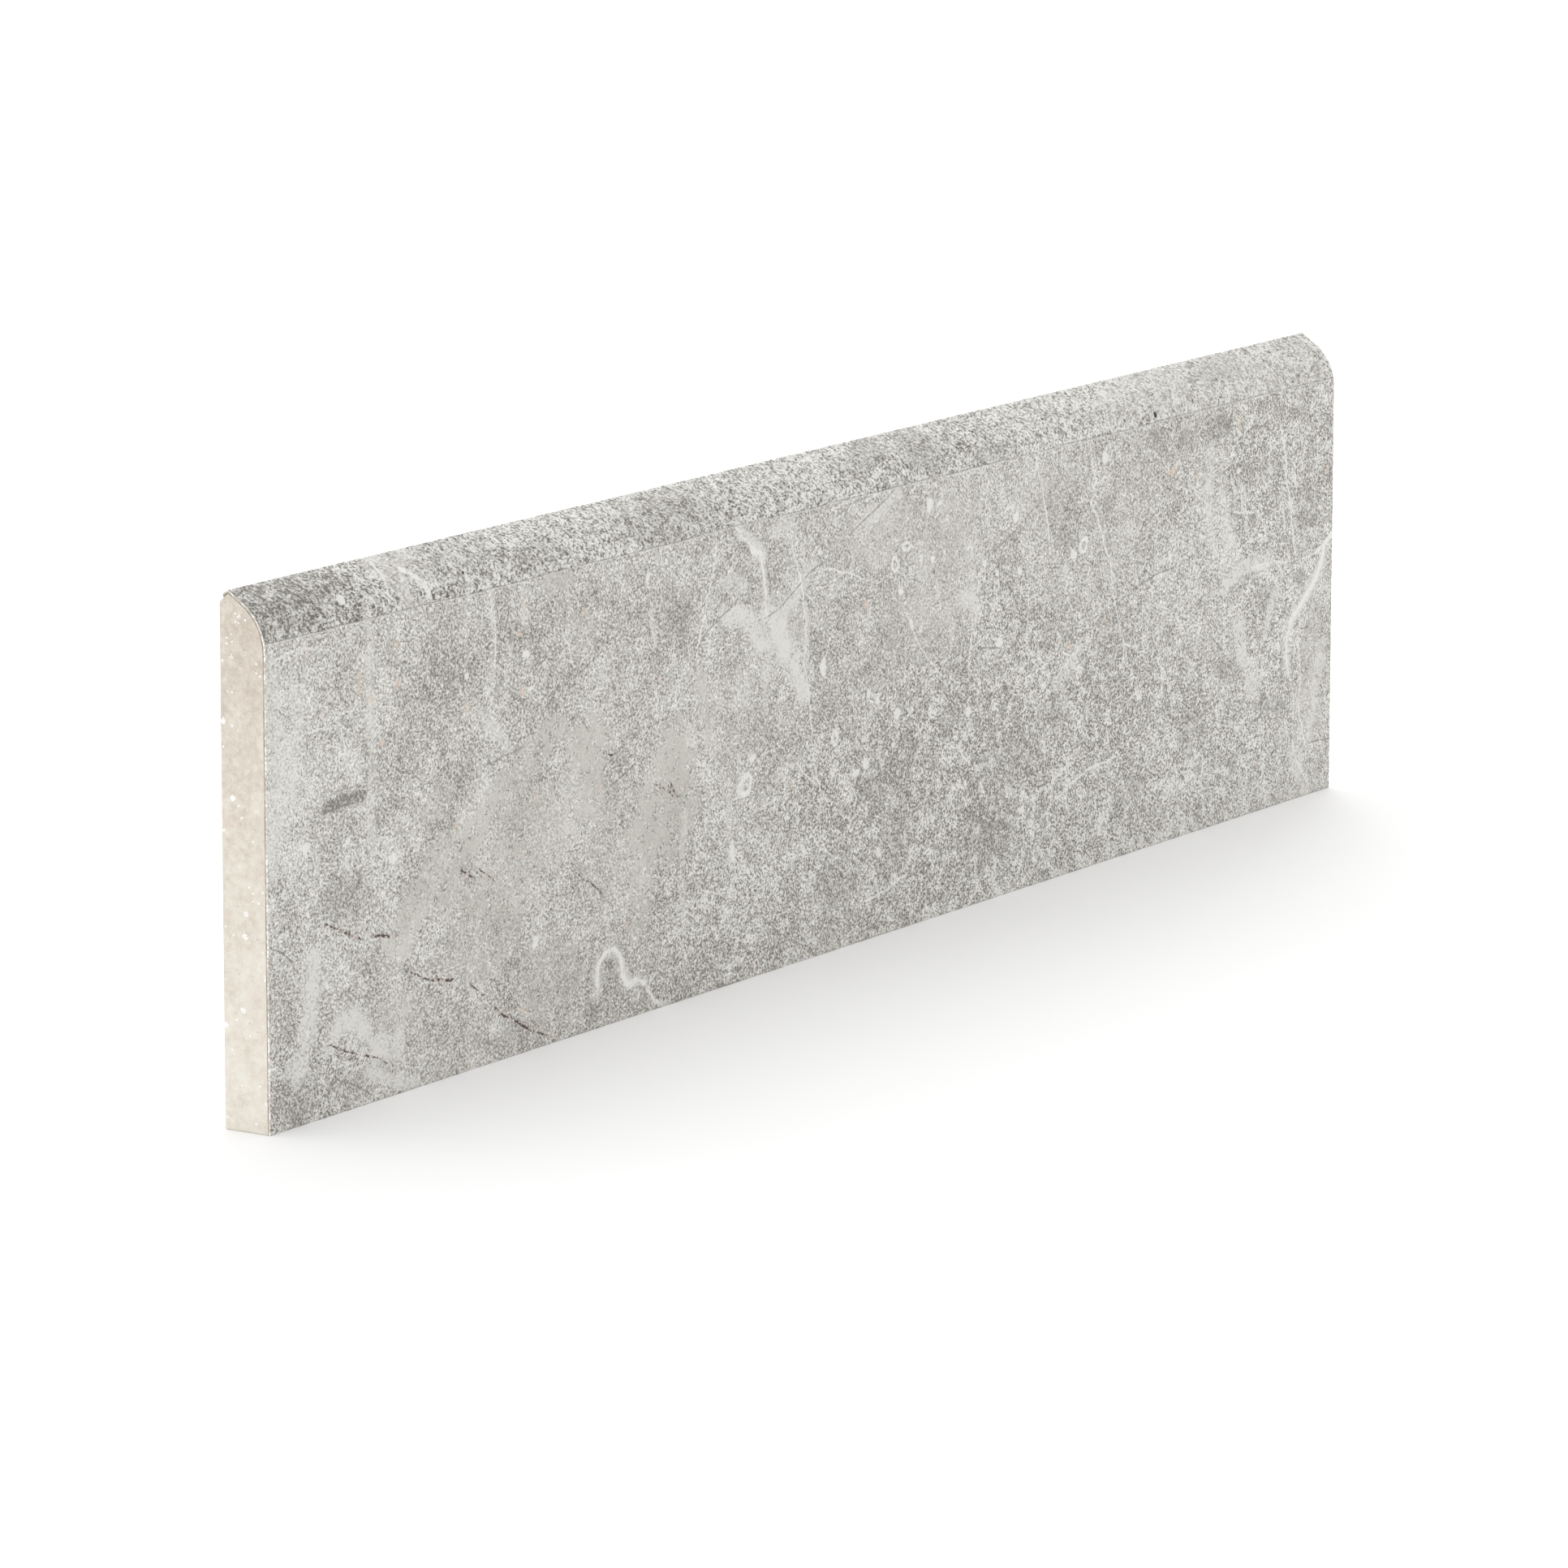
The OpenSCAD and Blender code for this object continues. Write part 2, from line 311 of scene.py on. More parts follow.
# Drops of lime: x, s, half width, half height and, where it leans, lean in degrees
DROPS = [
    (-61.6, 72.2, 0.5, 1.2, -30), (-113, 64, 0.7, 0.6), (-96.4, 64.8, 1.0, 0.6),
    (-95.6, 59.4, 0.8, 0.6, 20), (-94.2, 17.4, 0.8, 1.1, -20), (-112.6, 15.6, 0.6, 0.5),
    (-8, 49.4, 1.0, 1.8), (-9, 69, 0.6, 0.6), (-36.2, 22.6, 0.7, 1.6, 10), (26.4, 63, 0.9, 0.8),
    (16.4, 58.4, 0.7, 0.6), (25, 72.4, 1.2, 1.0), (53.8, 66.4, 1.2, 0.9, 15),
    (54.8, 56.6, 1.0, 0.8), (73.6, 57.2, 1.2, 1.1), (43.4, 60, 0.6, 0.6), (48.8, 44.8, 1.3, 1.1),
    (15.2, 38.4, 1.1, 1.3), (6, 42.6, 0.7, 0.8), (8.8, 41, 0.7, 0.7), (19.8, 52.2, 0.5, 1.3, 20),
    (62.2, 44, 0.6, 0.6), (5.4, 30.6, 1.0, 0.9), (2.4, 29.4, 1.1, 0.6), (38.2, 34.4, 0.9, 0.8),
    (84.2, 72.8, 0.9, 0.8), (107.2, 51.6, 0.6, 1.5, -12), (28.4, 72.2, 0.8, 0.6),
    (43.4, 57, 0.5, 0.5), (11.6, 31.4, 0.6, 0.6), (14, 32.8, 0.5, 0.5), (22.6, 63.6, 0.5, 0.5),
    (9, 14.8, 0.8, 0.8), (19, 6.4, 0.5, 0.5), (9.4, 4.4, 0.6, 0.6), (47.4, 5.8, 0.6, 0.5),
    (78.4, 41, 0.6, 0.5), (65, 27.4, 0.6, 0.4), (-63, 5, 0.9, 0.5, 20), (-30, 37.4, 1.0, 0.7),
    (-42.6, 60.4, 0.4, 0.4), (-37, 70, 0.9, 0.4, 20), (-54, 9, 0.4, 0.4), (-146, 57, 0.4, 1.0),
    (-145.4, 42.8, 0.7, 0.5), (-156.4, 43.4, 1.0, 0.7), (-126.6, 22.4, 0.5, 0.5),
    (-133.4, 38.4, 1.2, 0.9), (-136.8, 9.4, 0.4, 0.4), (-156, 14, 0.5, 0.5),
    (131.2, 64, 0.9, 0.6, 20), (152.6, 60, 0.4, 1.1), (154, 76.4, 0.5, 0.5), (97, 27.8, 0.9, 0.6),
    (161, 65.6, 0.7, 0.5, 20), (-144.2, 80.9, 1.0, 0.8), (158, 73, 0.4, 0.8, -20),
]
# Rings left by burst bubbles: x, s, half width, half height, lean, half width of the rim
RINGS = [
    (18.2, 66.2, 1.15, 0.8, 0, 0.34), (14.8, 63.6, 0.9, 1.3, 25, 0.34),
    (76.9, 58.4, 1.3, 1.25, 30, 0.42), (-32, 33.2, 1.5, 1.75, -30, 0.46),
    (-4.8, 36.4, 0.8, 1.35, 0, 0.38), (105.4, 30.2, 0.9, 0.8, 0, 0.18),
    (47.6, 55.2, 1.0, 0.9, 0, 0.24), (-63.6, 61.6, 1.1, 1.0, 0, 0.18),
]
# Pinkish specks: x, s, half width, half height
BLUSH = [
    (-142.2, 68, 0.5, 3.0), (-138.8, 64.6, 0.7, 0.9), (-151.6, 63.6, 0.8, 0.5),
    (-132, 71.6, 0.5, 1.2), (-131.8, 66, 0.8, 0.9), (-136.2, 57, 0.7, 0.8),
    (-112.8, 58.8, 0.9, 0.8), (-97.8, 59.2, 1.1, 0.9), (-116, 40.6, 0.8, 0.8),
    (-93.4, 41, 0.6, 0.8), (-138.2, 32.4, 0.6, 0.4), (-97.6, 32, 0.7, 0.6), (-98, 7, 0.9, 0.7),
    (-115.2, 53, 0.5, 0.4), (-128, 50, 0.4, 0.4), (-156.8, 75.2, 0.9, 0.8),
    (-97.2, 72.6, 0.4, 2.6), (-98.4, 68.6, 1.2, 0.3), (-46, 62.6, 0.6, 0.7),
    (-26.2, 49, 0.4, 1.4), (-18.4, 30.6, 0.9, 0.7), (-30, 2.2, 0.4, 0.8), (-75.4, 40, 0.6, 0.5),
    (-8.4, 27.2, 0.5, 1.4), (-58, 55, 0.6, 0.6), (-12, 23, 0.5, 0.7), (-2, 64.4, 1.6, 0.4),
    (-68, 16, 0.6, 0.5), (-80, 69.4, 0.8, 0.6), (-84.6, 33.4, 0.6, 0.5), (5.2, 58.4, 0.9, 0.8),
    (33, 22.4, 0.6, 0.8), (10.2, 20, 0.5, 0.7), (72.4, 41, 1.1, 0.9), (56.2, 37.6, 0.6, 0.5),
    (13, 16.2, 0.5, 0.5), (84.6, 43.4, 0.7, 0.5), (131.6, 73, 0.8, 1.6), (97, 28.4, 0.6, 0.9),
    (107.6, 67.4, 1.6, 0.8), (116.6, 66, 0.5, 0.5), (139, 9, 0.6, 0.6), (45.6, 33.6, 0.6, 0.4),
    (63.8, 20.4, 0.5, 0.4), (164.4, 60, 0.6, 0.8),
]
# Stained areas: x, s, half width, half height, strength and, where it leans, lean
DUSK = [
    (-146.4, 49.2, 6.0, 1.4, 0.4, 3), (124, 73, 4.5, 2.6, 0.4), (133.4, 63.6, 4.0, 2.4, 0.4),
    (130.2, 57.4, 2.0, 3.2, 0.4), (136, 54.6, 3.0, 2.0, 0.4), (142, 63, 5, 2.4, 0.25),
    (154.4, 41.6, 2.6, 1.4, 0.4), (130.2, 10, 1.6, 1.8, 0.55), (143.4, 19.4, 6.0, 1.6, 0.4, -10),
    (154, 73, 3.6, 2.0, 0.3), (156.4, 54, 4.0, 7.0, 0.25), (142.6, 39.6, 4.0, 3.0, 0.4),
    (128.6, 28.4, 5.0, 3.0, 0.35), (31.4, 33.6, 2.6, 3.0, 0.4), (40.4, 32, 2.4, 1.0, 0.45),
    (12, 28, 9, 6, 0.3, 20), (66, 30, 6, 3, 0.3), (46, 12, 7, 6, 0.3), (16, 18, 8, 6, 0.3, 30),
    (95, 12, 3, 3, 0.35), (116, 18, 6, 4, 0.25), (52, 24, 10, 5, 0.25), (47, 62.2, 0.9, 1.2, 0.5),
    (-26, 64, 2.0, 1.8, 0.35), (-104, 60.4, 1.2, 2.6, 0.35), (-146, 34, 7, 4, 0.3),
    (-160, 5, 6, 5, 0.45), (-146, 4, 6, 3, 0.3), (-101.4, 3.4, 4, 2.4, 0.2),
    (-71.6, 10.4, 1.4, 0.9, 0.5), (-52.6, 66, 7, 6, 0.2), (-4, 12, 8, 5, 0.25),
    (101, 74, 3, 2, 0.3), (112.4, 71.4, 3, 3, 0.25), (-156.4, 83, 13, 5, 0.25),
    (-163.4, 80, 5, 4, 0.25), (-112, 84, 11, 5, 0.15), (-52, 82, 14, 6, 0.25),
    (27, 82.6, 7, 5, 0.3), (10, 84, 9, 3, 0.25, 20), (128, 84, 7, 3, 0.2), (-92, 80, 9, 3, 0.15),
    (47, 79, 7, 2, 0.2),
]
# Places where the print is worn smooth: x, s, half width, half height, strength, lean
BARE = [
    (-129, 28, 8, 4, 0.7, 48), (-119, 33, 7, 6, 0.7, 40), (-110.4, 38.6, 8.5, 2.7, 1.0, 40),
    (-104, 29, 11, 7, 0.6, 10), (-99, 46, 9, 3.4, 0.6, 20), (-89.4, 51, 4.4, 2.6, 0.9, 15),
    (-93, 36, 13, 8, 0.45), (-79.4, 46.6, 7.4, 5.2, 0.9, 10), (-78, 39.4, 4.6, 4.6, 0.8),
    (-53.4, 41, 6.0, 6.2, 0.95, -30), (-61, 31, 6.0, 7.4, 0.95), (-54, 29, 6, 6, 0.8),
    (-48.6, 33.4, 2.6, 4.4, 0.8), (-45.6, 52.4, 1.6, 3.8, 0.9, 25), (-44, 45, 2.0, 4.4, 0.6),
    (-63.6, 20.4, 3.4, 8.0, 0.6), (-87.4, 76, 4.4, 2.4, 0.7), (-129, 82, 3.0, 7, 0.7, 30),
    (-124.4, 84.6, 4.4, 4.4, 0.7), (-90, 11, 9, 7, 0.4), (-109.4, 20.4, 11, 7, 0.4),
    (-80, 66, 5, 4, 0.3), (12, 70, 16, 6, 0.4), (30, 66, 12, 9, 0.4), (24, 54, 16, 7, 0.35),
    (-121, 44.6, 5, 3, 0.4, 40), (158.6, 22, 6, 12, 0.35), (-132, 13.4, 6, 3, 0.4),
    (-73, 30, 8, 10, 0.3), (38.4, 54, 3.4, 2.6, 0.5), (-20, 57, 5, 5, 0.4),
    (126, 82, 44, 8, 0.45), (64, 69, 9, 5, 0.2), (92, 60, 12, 9, 0.15), (-36, 45, 12, 8, 0.2),
]
# Places where the print is open and grainy: x, s, half width, half height, strength
COARSE = [
    (-159, 5, 14, 8, 0.8), (-30, 10, 26, 12, 0.6), (0, 20, 26, 16, 0.7), (30, 20, 34, 20, 0.9),
    (62, 26, 28, 18, 0.9), (60, 5, 50, 9, 1.0), (92, 20, 34, 16, 0.85), (50, 46, 14, 10, 0.5),
    (118, 12, 30, 14, 0.8), (136, 60, 12, 16, 1.0), (158, 62, 12, 16, 0.7),
    (140, 32, 14, 14, 0.8), (-42, 20, 14, 10, 0.35), (110, 50, 22, 18, 0.3),
    (-150, 34, 14, 10, 0.2),
]
# Slow changes of tone: x, s, half width, half height, change
TONE = [
    (-162, 56, 12, 26, 0.12), (-104, 68, 34, 12, -0.04), (-50, 66, 20, 10, -0.03),
    (-28, 62, 14, 14, 0.06), (30, 64, 20, 14, 0.05), (2, 30, 24, 14, -0.05),
    (45, 26, 34, 18, -0.06), (20, 8, 46, 12, -0.05), (-86, 6, 44, 12, -0.06),
    (88, 26, 22, 14, -0.05), (122, 50, 16, 14, 0.09), (150, 30, 16, 20, 0.05),
    (-153, 82, 19, 10, -0.42), (-126, 83, 8, 9, 0.08), (-70, 82, 14, 7, 0.04),
    (-50, 82, 16, 7, -0.04), (-10, 82, 16, 7, 0.05), (26, 82, 12, 7, -0.03),
    (60, 80, 12, 5, 0.10), (95, 82, 26, 7, 0.09), (140, 82, 22, 7, 0.02),
    (106, 70, 16, 10, -0.02), (124, 8, 40, 12, 0.08), (84, 6, 16, 8, 0.05),
    (60, 66, 12, 10, -0.02), (132, 62, 8, 10, -0.08), (156, 62, 10, 14, -0.05),
    (-102, 56, 30, 22, -0.02), (-140, 22, 40, 26, 0.05), (148, 47, 14, 9, -0.04),
    (111, 8, 18, 10, 0.05), (112, 82, 16, 7, 0.04), (-92, 82, 50, 7, -0.03),
    (-10, 56, 26, 14, -0.045), (-110, 7, 18, 9, 0.04), (18, 29, 34, 9, -0.045),
    (-74, 66, 20, 10, -0.04), (-150, 66, 16, 8, -0.035), (-152, 82, 18, 7, -0.03),
]
# Open pores: x, s, radius, depth
PORES = [
    (102.3, 78.3, 0.62, 0.22), (-111.6, 80.5, 0.4, 0.2), (67, 82.6, 0.34, 0.18),
    (40.4, 53.2, 0.3, 0.12), (-60.6, 74, 0.26, 0.12), (120.4, 31.4, 0.26, 0.12),
    (87.2, 27.6, 0.26, 0.12), (-103.4, 61.8, 0.24, 0.1), (-26.8, 70.2, 0.3, 0.12),
    (-58.4, 2, 0.3, 0.12), (-151, 84.6, 0.3, 0.15), (143, 86, 0.3, 0.15),
]


FAR = 1.5               # thin lines are felt no further than this, in mm
LINE_REACH = 0.8        # and their colour goes no further than this
TILE_MM = 2 * HALF_L / MM


def to_line(x, s, points, far):
    """Signed distance in mm from each (x, s) to a drawn line, positive on its left, below far."""
    best = np.full(x.shape, far)
    for (x0, s0), (x1, s1) in zip(points, points[1:]):
        dx, ds = x1 - x0, s1 - s0
        across_x, across_s = x - x0, s - s0
        t = np.clip((across_x * dx + across_s * ds) / (dx * dx + ds * ds), 0, 1)
        off = np.hypot(across_x - t * dx, across_s - t * ds)
        best = np.where(off < abs(best), np.where(dx * across_s > ds * across_x, off, -off), best)
    return best


def nearest_lines(x, s, lines):
    """For each point: signed and plain distance to the nearest line, and that line's width."""
    side, width = np.full(x.shape, FAR), np.zeros(x.shape)
    for half, points in lines:
        off = to_line(x, s, points, 2 * FAR)
        nearer = abs(off) < abs(side)
        side, width = np.where(nearer, off, side), np.where(nearer, half, width)
    return np.stack([side, abs(side), width], 1)


def in_oval(x, s, x0, s0, half_x, half_s, lean=0):
    """Distance from the middle of a leaning oval, where 1 is its rim."""
    c, d = math.cos(math.radians(lean)), math.sin(math.radians(lean))
    u, v = (x - x0) * c + (s - s0) * d, (s - s0) * c - (x - x0) * d
    return np.hypot(u / half_x, v / half_s)


def ring(x0, s0, half_x, half_s, lean):
    """A leaning oval as a closed line of points."""
    c, d = math.cos(math.radians(lean)), math.sin(math.radians(lean))
    turns = np.linspace(0, 2 * math.pi, 17)
    return [(x0 + half_x * math.cos(a) * c - half_s * math.sin(a) * d,
             s0 + half_x * math.cos(a) * d + half_s * math.sin(a) * c) for a in turns]


def same_side(s, s0):
    """1 where a point lies on the same side of the seam as a mark at height s0, else 0."""
    return (s > SEAM_S) == (s0 > SEAM_S)


def areas(marks, x, s, wobble, inner, outer):
    """Strength of soft-edged ovals: full within inner of their size, nothing beyond outer."""
    found = np.zeros(x.shape)
    for x0, s0, half_x, half_s, strength, *lean in marks:
        off = in_oval(x, s, x0, s0, half_x, half_s, *lean) + wobble
        found = np.maximum(found, strength * (1 - smooth(off, inner, outer)) * same_side(s, s0))
    return found


def paint_print(mesh, x, s):
    """Paints the drawn marks of the print on the points of a coat, given their (x, s) in mm."""
    wander_x = x + 1.0 * (lattice(x, s, 5, 1) - 0.5) + 0.7 * (lattice(x, s, 1.7, 2) - 0.5)
    wander_s = s + 1.0 * (lattice(x, s, 5, 3) - 0.5) + 0.7 * (lattice(x, s, 1.7, 4) - 0.5)
    ragged = lattice(x, s, 2.2, 5) + 0.5 * lattice(x, s, 0.9, 6) - 0.75

    chalk = np.zeros(x.shape)
    for x0, s0, half_x, half_s, *lean in DROPS:
        rim = in_oval(wander_x, wander_s, x0, s0, half_x, half_s, *lean) - 1
        chalk = np.maximum(chalk, 0.5 - rim * min(half_x, half_s))

    haze = np.zeros(x.shape)
    for half, strength, points in HAZE_LINES:
        off = abs(to_line(wander_x, wander_s, points, 2 * TILE_MM)) / half + 0.7 * ragged
        haze = np.maximum(haze, strength * (1 - smooth(off, 0.4, 1.6)))

    blush = np.zeros(x.shape)
    for x0, s0, half_x, half_s in BLUSH:
        blush = np.maximum(blush, 1.4 - in_oval(wander_x, wander_s, x0, s0, half_x, half_s))
    # The dark of the open pores is painted shade inside them.
    pore_shade = np.zeros(x.shape)
    for x0, s0, radius, _ in PORES:
        pore_shade = np.maximum(pore_shade, 1 - np.hypot(x - x0, s - s0) / (2 * radius))
    tone = np.zeros(x.shape)
    for x0, s0, half_x, half_s, change in TONE:
        spread = np.exp(-1.2 * in_oval(x, s, x0, s0, half_x, half_s) ** 2)
        tone += change * spread * same_side(s, s0)

    fields = {"chalk": chalk, "haze": haze, "blush": blush, "pore_shade": pore_shade, "tone": tone,
              "dusk": areas(DUSK, x, s, 0.35 * ragged, 0.6, 1.35),
              "bare": areas(BARE, x, s, 0.5 * ragged, 0.75, 1.2),
              "coarse": areas(COARSE, x, s, 0.4 * ragged, 0.5, 1.5)}
    for name, values in fields.items():
        layer = mesh.attributes.new(name, "FLOAT", "POINT")
        layer.data.foreach_set("value", np.clip(values, -1, 1).astype(np.float32))
    veins = CHALK_LINES + [(rim, ring(*oval)) for *oval, rim in RINGS]
    for name, lines in (("vein", veins), ("scratch", DASH + HAIRLINES), ("rust", RUST_LINES)):
        layer = mesh.attributes.new(name, "FLOAT_VECTOR", "POINT")
        stray = 0.8 if name == "vein" else 0.3
        found = nearest_lines(x + stray * (wander_x - x), s + stray * (wander_s - s), lines)
        layer.data.foreach_set("vector", found.astype(np.float32).ravel())


# -------- the coats
STEP = 0.56 * MM        # spacing of the points along the wall
COLUMNS = round(2 * HALF_L / STEP)


def spaced(start, end, step):
    return list(np.linspace(start, end, max(2, round((end - start) / step) + 1)))


def seam_wave(x):
    """How far the hand-brushed seam strays from its line, in metres."""
    return 0.28 * MM * (lattice(x / MM, 0 * x, 14, 11) - 0.5) \
        + 0.16 * MM * (lattice(x / MM, 0 * x, 3.1, 12) - 0.5)


def relief(x, s):
    """How far the fired surface lies below the true one: a soft unevenness and the open pores."""
    x, s = x / MM, s / MM
    deep = 0.02 * lattice(x, s, 9, 21) + 0.012 * lattice(x, s, 2.2, 22)
    on_nose = smooth(s, S_SEAM / MM, S_SEAM / MM + 1.5)
    deep = deep + on_nose * 0.03 * lattice(x + 0.7 * s, s - 0.7 * x, 1.3, 23)
    for x0, s0, radius, depth in PORES:
        deep = deep + depth * (1 - smooth(np.hypot(x - x0, s - s0), 0.3 * radius, 1.3 * radius))
    return deep * MM


def chips(s, seed):
    """How far the saw broke the glaze back from the end of the tile."""
    fine = lattice(s / MM, 0 * s, 0.7, seed)
    rare = lattice(s / MM, 0 * s, 2.6, seed + 1)
    return MM * (0.03 + 0.10 * fine ** 2 + 0.32 * smooth(rare, 0.72, 1.0) * fine)


def lay_coat(name, rows, place_row, lips):
    """A glaze coat: a fine sheet laid over the section, thickened inwards, its cut ends chipped.

    rows are the heights s of its points, place_row gives (y, z) of a row's points at a depth,
    and lips says how far the first and the last row draw back at the seam.
    """
    deselect_all()
    bpy.ops.mesh.primitive_grid_add(
        x_subdivisions=COLUMNS, y_subdivisions=len(rows) - 1, size=1,
        location=(0, FRONT, TOP / 2), rotation=(math.pi / 2, 0, 0))
    coat = bpy.context.object
    coat.name = coat.data.name = name
    coat.scale = (2 * HALF_L, TOP, 1)
    bpy.ops.object.transform_apply(location=True, rotation=True, scale=True)
    mesh = coat.data

    found = places(mesh)
    x = found[:, 0]
    row = np.rint(found[:, 2] / TOP * (len(rows) - 1)).astype(int)
    s = np.array(rows)[row]
    depth = relief(x, s)
    depth[row == 0] += lips[0]
    depth[row == len(rows) - 1] += lips[1]
    outer_y, outer_z = place_row(x, s, depth)
    inner_y, inner_z = place_row(x, s, np.full(x.shape, GLAZE_T))

    end = abs(x) > HALF_L - 0.1 * STEP
    broken = np.where(end, chips(s, 31), 0) * np.sign(x)
    outer = np.stack([x - broken, outer_y, outer_z], 1)
    inner = np.stack([x, inner_y, inner_z], 1)

    skin = mesh.uv_layers[0]
    skin.name = "skin"
    corner = np.empty(len(mesh.loops), np.int32)
    mesh.loops.foreach_get("vertex_index", corner)
    skin.data.foreach_set("uv", np.stack([x, s], 1)[corner].astype(np.float32).ravel())
    paint_print(mesh, x / MM, s / MM)

    for _ in ("print", "cut edge"):
        coat.data.materials.append(None)
    apply_modifier(coat, "SOLIDIFY", thickness=GLAZE_T, offset=-1, use_rim=True,
                   material_offset_rim=1)
    put_places(coat.data, np.concatenate([outer, inner]))
    return coat


def turn_outwards(piece):
    edit(piece, "FACE")
    bpy.ops.object.mode_set(mode="EDIT")
    bpy.ops.mesh.select_all(action="SELECT")
    bpy.ops.mesh.normals_make_consistent(inside=False)
    bpy.ops.object.mode_set(mode="OBJECT")
    deselect_all()


def merge_flat_back(coat):
    """Joins the hidden flat side of a coat, against its engobe, into one face."""
    edit(coat, "FACE")
    inside = FRONT + GLAZE_T
    for face in coat.data.polygons:
        face.select = (abs(face.normal.y) > 0.999 and abs(face.center.y - inside) < SAME
                       and face.center.z < NOSE_Z)
    bpy.ops.object.mode_set(mode="EDIT")
    bpy.ops.mesh.dissolve_faces()
    bpy.ops.object.mode_set(mode="OBJECT")


def smooth_coat(coat):
    make_active(coat)
    bpy.ops.object.shade_smooth_by_angle(angle=math.radians(35))
    deselect_all()


def place_on_face(x, s, depth):
    """Rows below the arris' height go round the eased bottom edge; the rest lie on the skin."""
    reach = smooth(s, S_SEAM - SEAM_FADE, S_SEAM)
    s = s + reach * seam_wave(x)
    y, z = skin_point(s, depth)
    round_in = ARRIS_R - np.sqrt(np.maximum(ARRIS_R ** 2 - np.maximum(ARRIS_R - s, 0) ** 2, 0))
    return np.maximum(y, FRONT + np.minimum(round_in, GLAZE_T)), z


def place_on_nose(x, s, depth):
    reach = 1 - smooth(s, S_SEAM, S_SEAM + SEAM_FADE)
    return skin_point(s + reach * seam_wave(x), depth)


FACE_STEP = 0.57 * MM   # spacing of the rows up the face
NOSE_STEP = 0.5 * MM    # over the nose
CREST_STEP = 0.11 * MM  # and round the crest
LIP = 0.06 * MM         # width of the rounded lip of a coat at the seam
face_rows = [0, 0.02 * MM, 0.07 * MM, 0.15 * MM, ARRIS_R] \
    + spaced(0.7 * MM, S_SEAM - 0.2 * MM, FACE_STEP) + [S_SEAM - LIP, S_SEAM]
nose_rows = [S_SEAM, S_SEAM + LIP] + spaced(S_SEAM + 0.2 * MM, S_FACET, NOSE_STEP) \
    + spaced(S_FACET, S_CREST, NOSE_STEP)[1:] + spaced(S_CREST, S_LAP, CREST_STEP)[1:] \
    + spaced(S_LAP, S_END - 0.08 * MM, 0.3 * MM)[1:] + [S_END]

face_coat = lay_coat("face_glaze_coat", face_rows, place_on_face, (0, 0.05 * MM))
merge_flat_back(face_coat)
turn_outwards(face_coat)
smooth_coat(face_coat)

nose_coat = lay_coat("nose_glaze_coat", nose_rows, place_on_nose, (0.04 * MM, 0.1 * MM))
turn_outwards(nose_coat)
smooth_coat(nose_coat)


# -------- the biscuit
def copy_of_node(node, name):
    """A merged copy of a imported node, to be finished by hand."""
    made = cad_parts[node].copy()
    made.data = made.data.copy()
    made.name = made.data.name = name
    made.parent = None
    for key in list(made.keys()):
        del made[key]
    bpy.context.scene.collection.objects.link(made)
    make_active(made)
    made.data.materials.clear()
    bpy.ops.object.mode_set(mode="EDIT")
    bpy.ops.mesh.select_all(action="SELECT")
    bpy.ops.mesh.remove_doubles(threshold=SAME)
    bpy.ops.mesh.dissolve_limited(angle_limit=math.radians(0.5))
    bpy.ops.mesh.select_all(action="DESELECT")
    bpy.ops.object.mode_set(mode="OBJECT")
    return made


def ease_edges(piece, wanted, width, segments):
    """Bevels the edges whose two ends satisfy wanted(a, b)."""
    edit(piece, "EDGE")
    points = piece.data.vertices
    for edge in piece.data.edges:
        a, b = (points[i].co for i in edge.vertices)
        edge.select = wanted(a, b)
    bpy.ops.object.mode_set(mode="EDIT")
    bpy.ops.mesh.bevel(offset=width, segments=segments, profile=0.5, clamp_overlap=True)
    bpy.ops.mesh.select_all(action="DESELECT")
    bpy.ops.object.mode_set(mode="OBJECT")


def along_groove(a, b):
    """An upright edge of the back relief, at a groove's mouth or floor, clear of the ends."""
    upright = abs(a.x - b.x) < SAME and abs(a.z - b.z) > 10 * MM
    return upright and a.y > BACK - 1.5 * MM and abs(a.x) < HALF_L - 1 * MM


def at_foot(a, b):
    """The bottom edge of a cut end."""
    return abs(a.x + b.x) > 2 * HALF_L - SAME and max(a.z, b.z) < SAME


def at_end(a, b):
    """The back edge of a cut end, and its edge along the chamfer."""
    on_end = abs(a.x + b.x) > 2 * HALF_L - SAME
    return on_end and max(a.y, b.y) > BACK - SAME and a.z + b.z > 2 * MM


biscuit = copy_of_node("biscuit_body", "biscuit")
ease_edges(biscuit, along_groove, GROOVE_EASE, 3)
ease_edges(biscuit, at_foot, FOOT_EASE, 4)
ease_edges(biscuit, at_end, END_EASE, 3)
turn_outwards(biscuit)
smooth_coat(biscuit)


# -------- paint box
def shade(red, green, blue):
    """A colour given in display levels from 0 to 255, as the linear colour a shader takes."""
    def linear(level):
        level = level / 255
        return level / 12.92 if level <= 0.04045 else ((level + 0.055) / 1.055) ** 2.4
    return (linear(red), linear(green), linear(blue), 1)


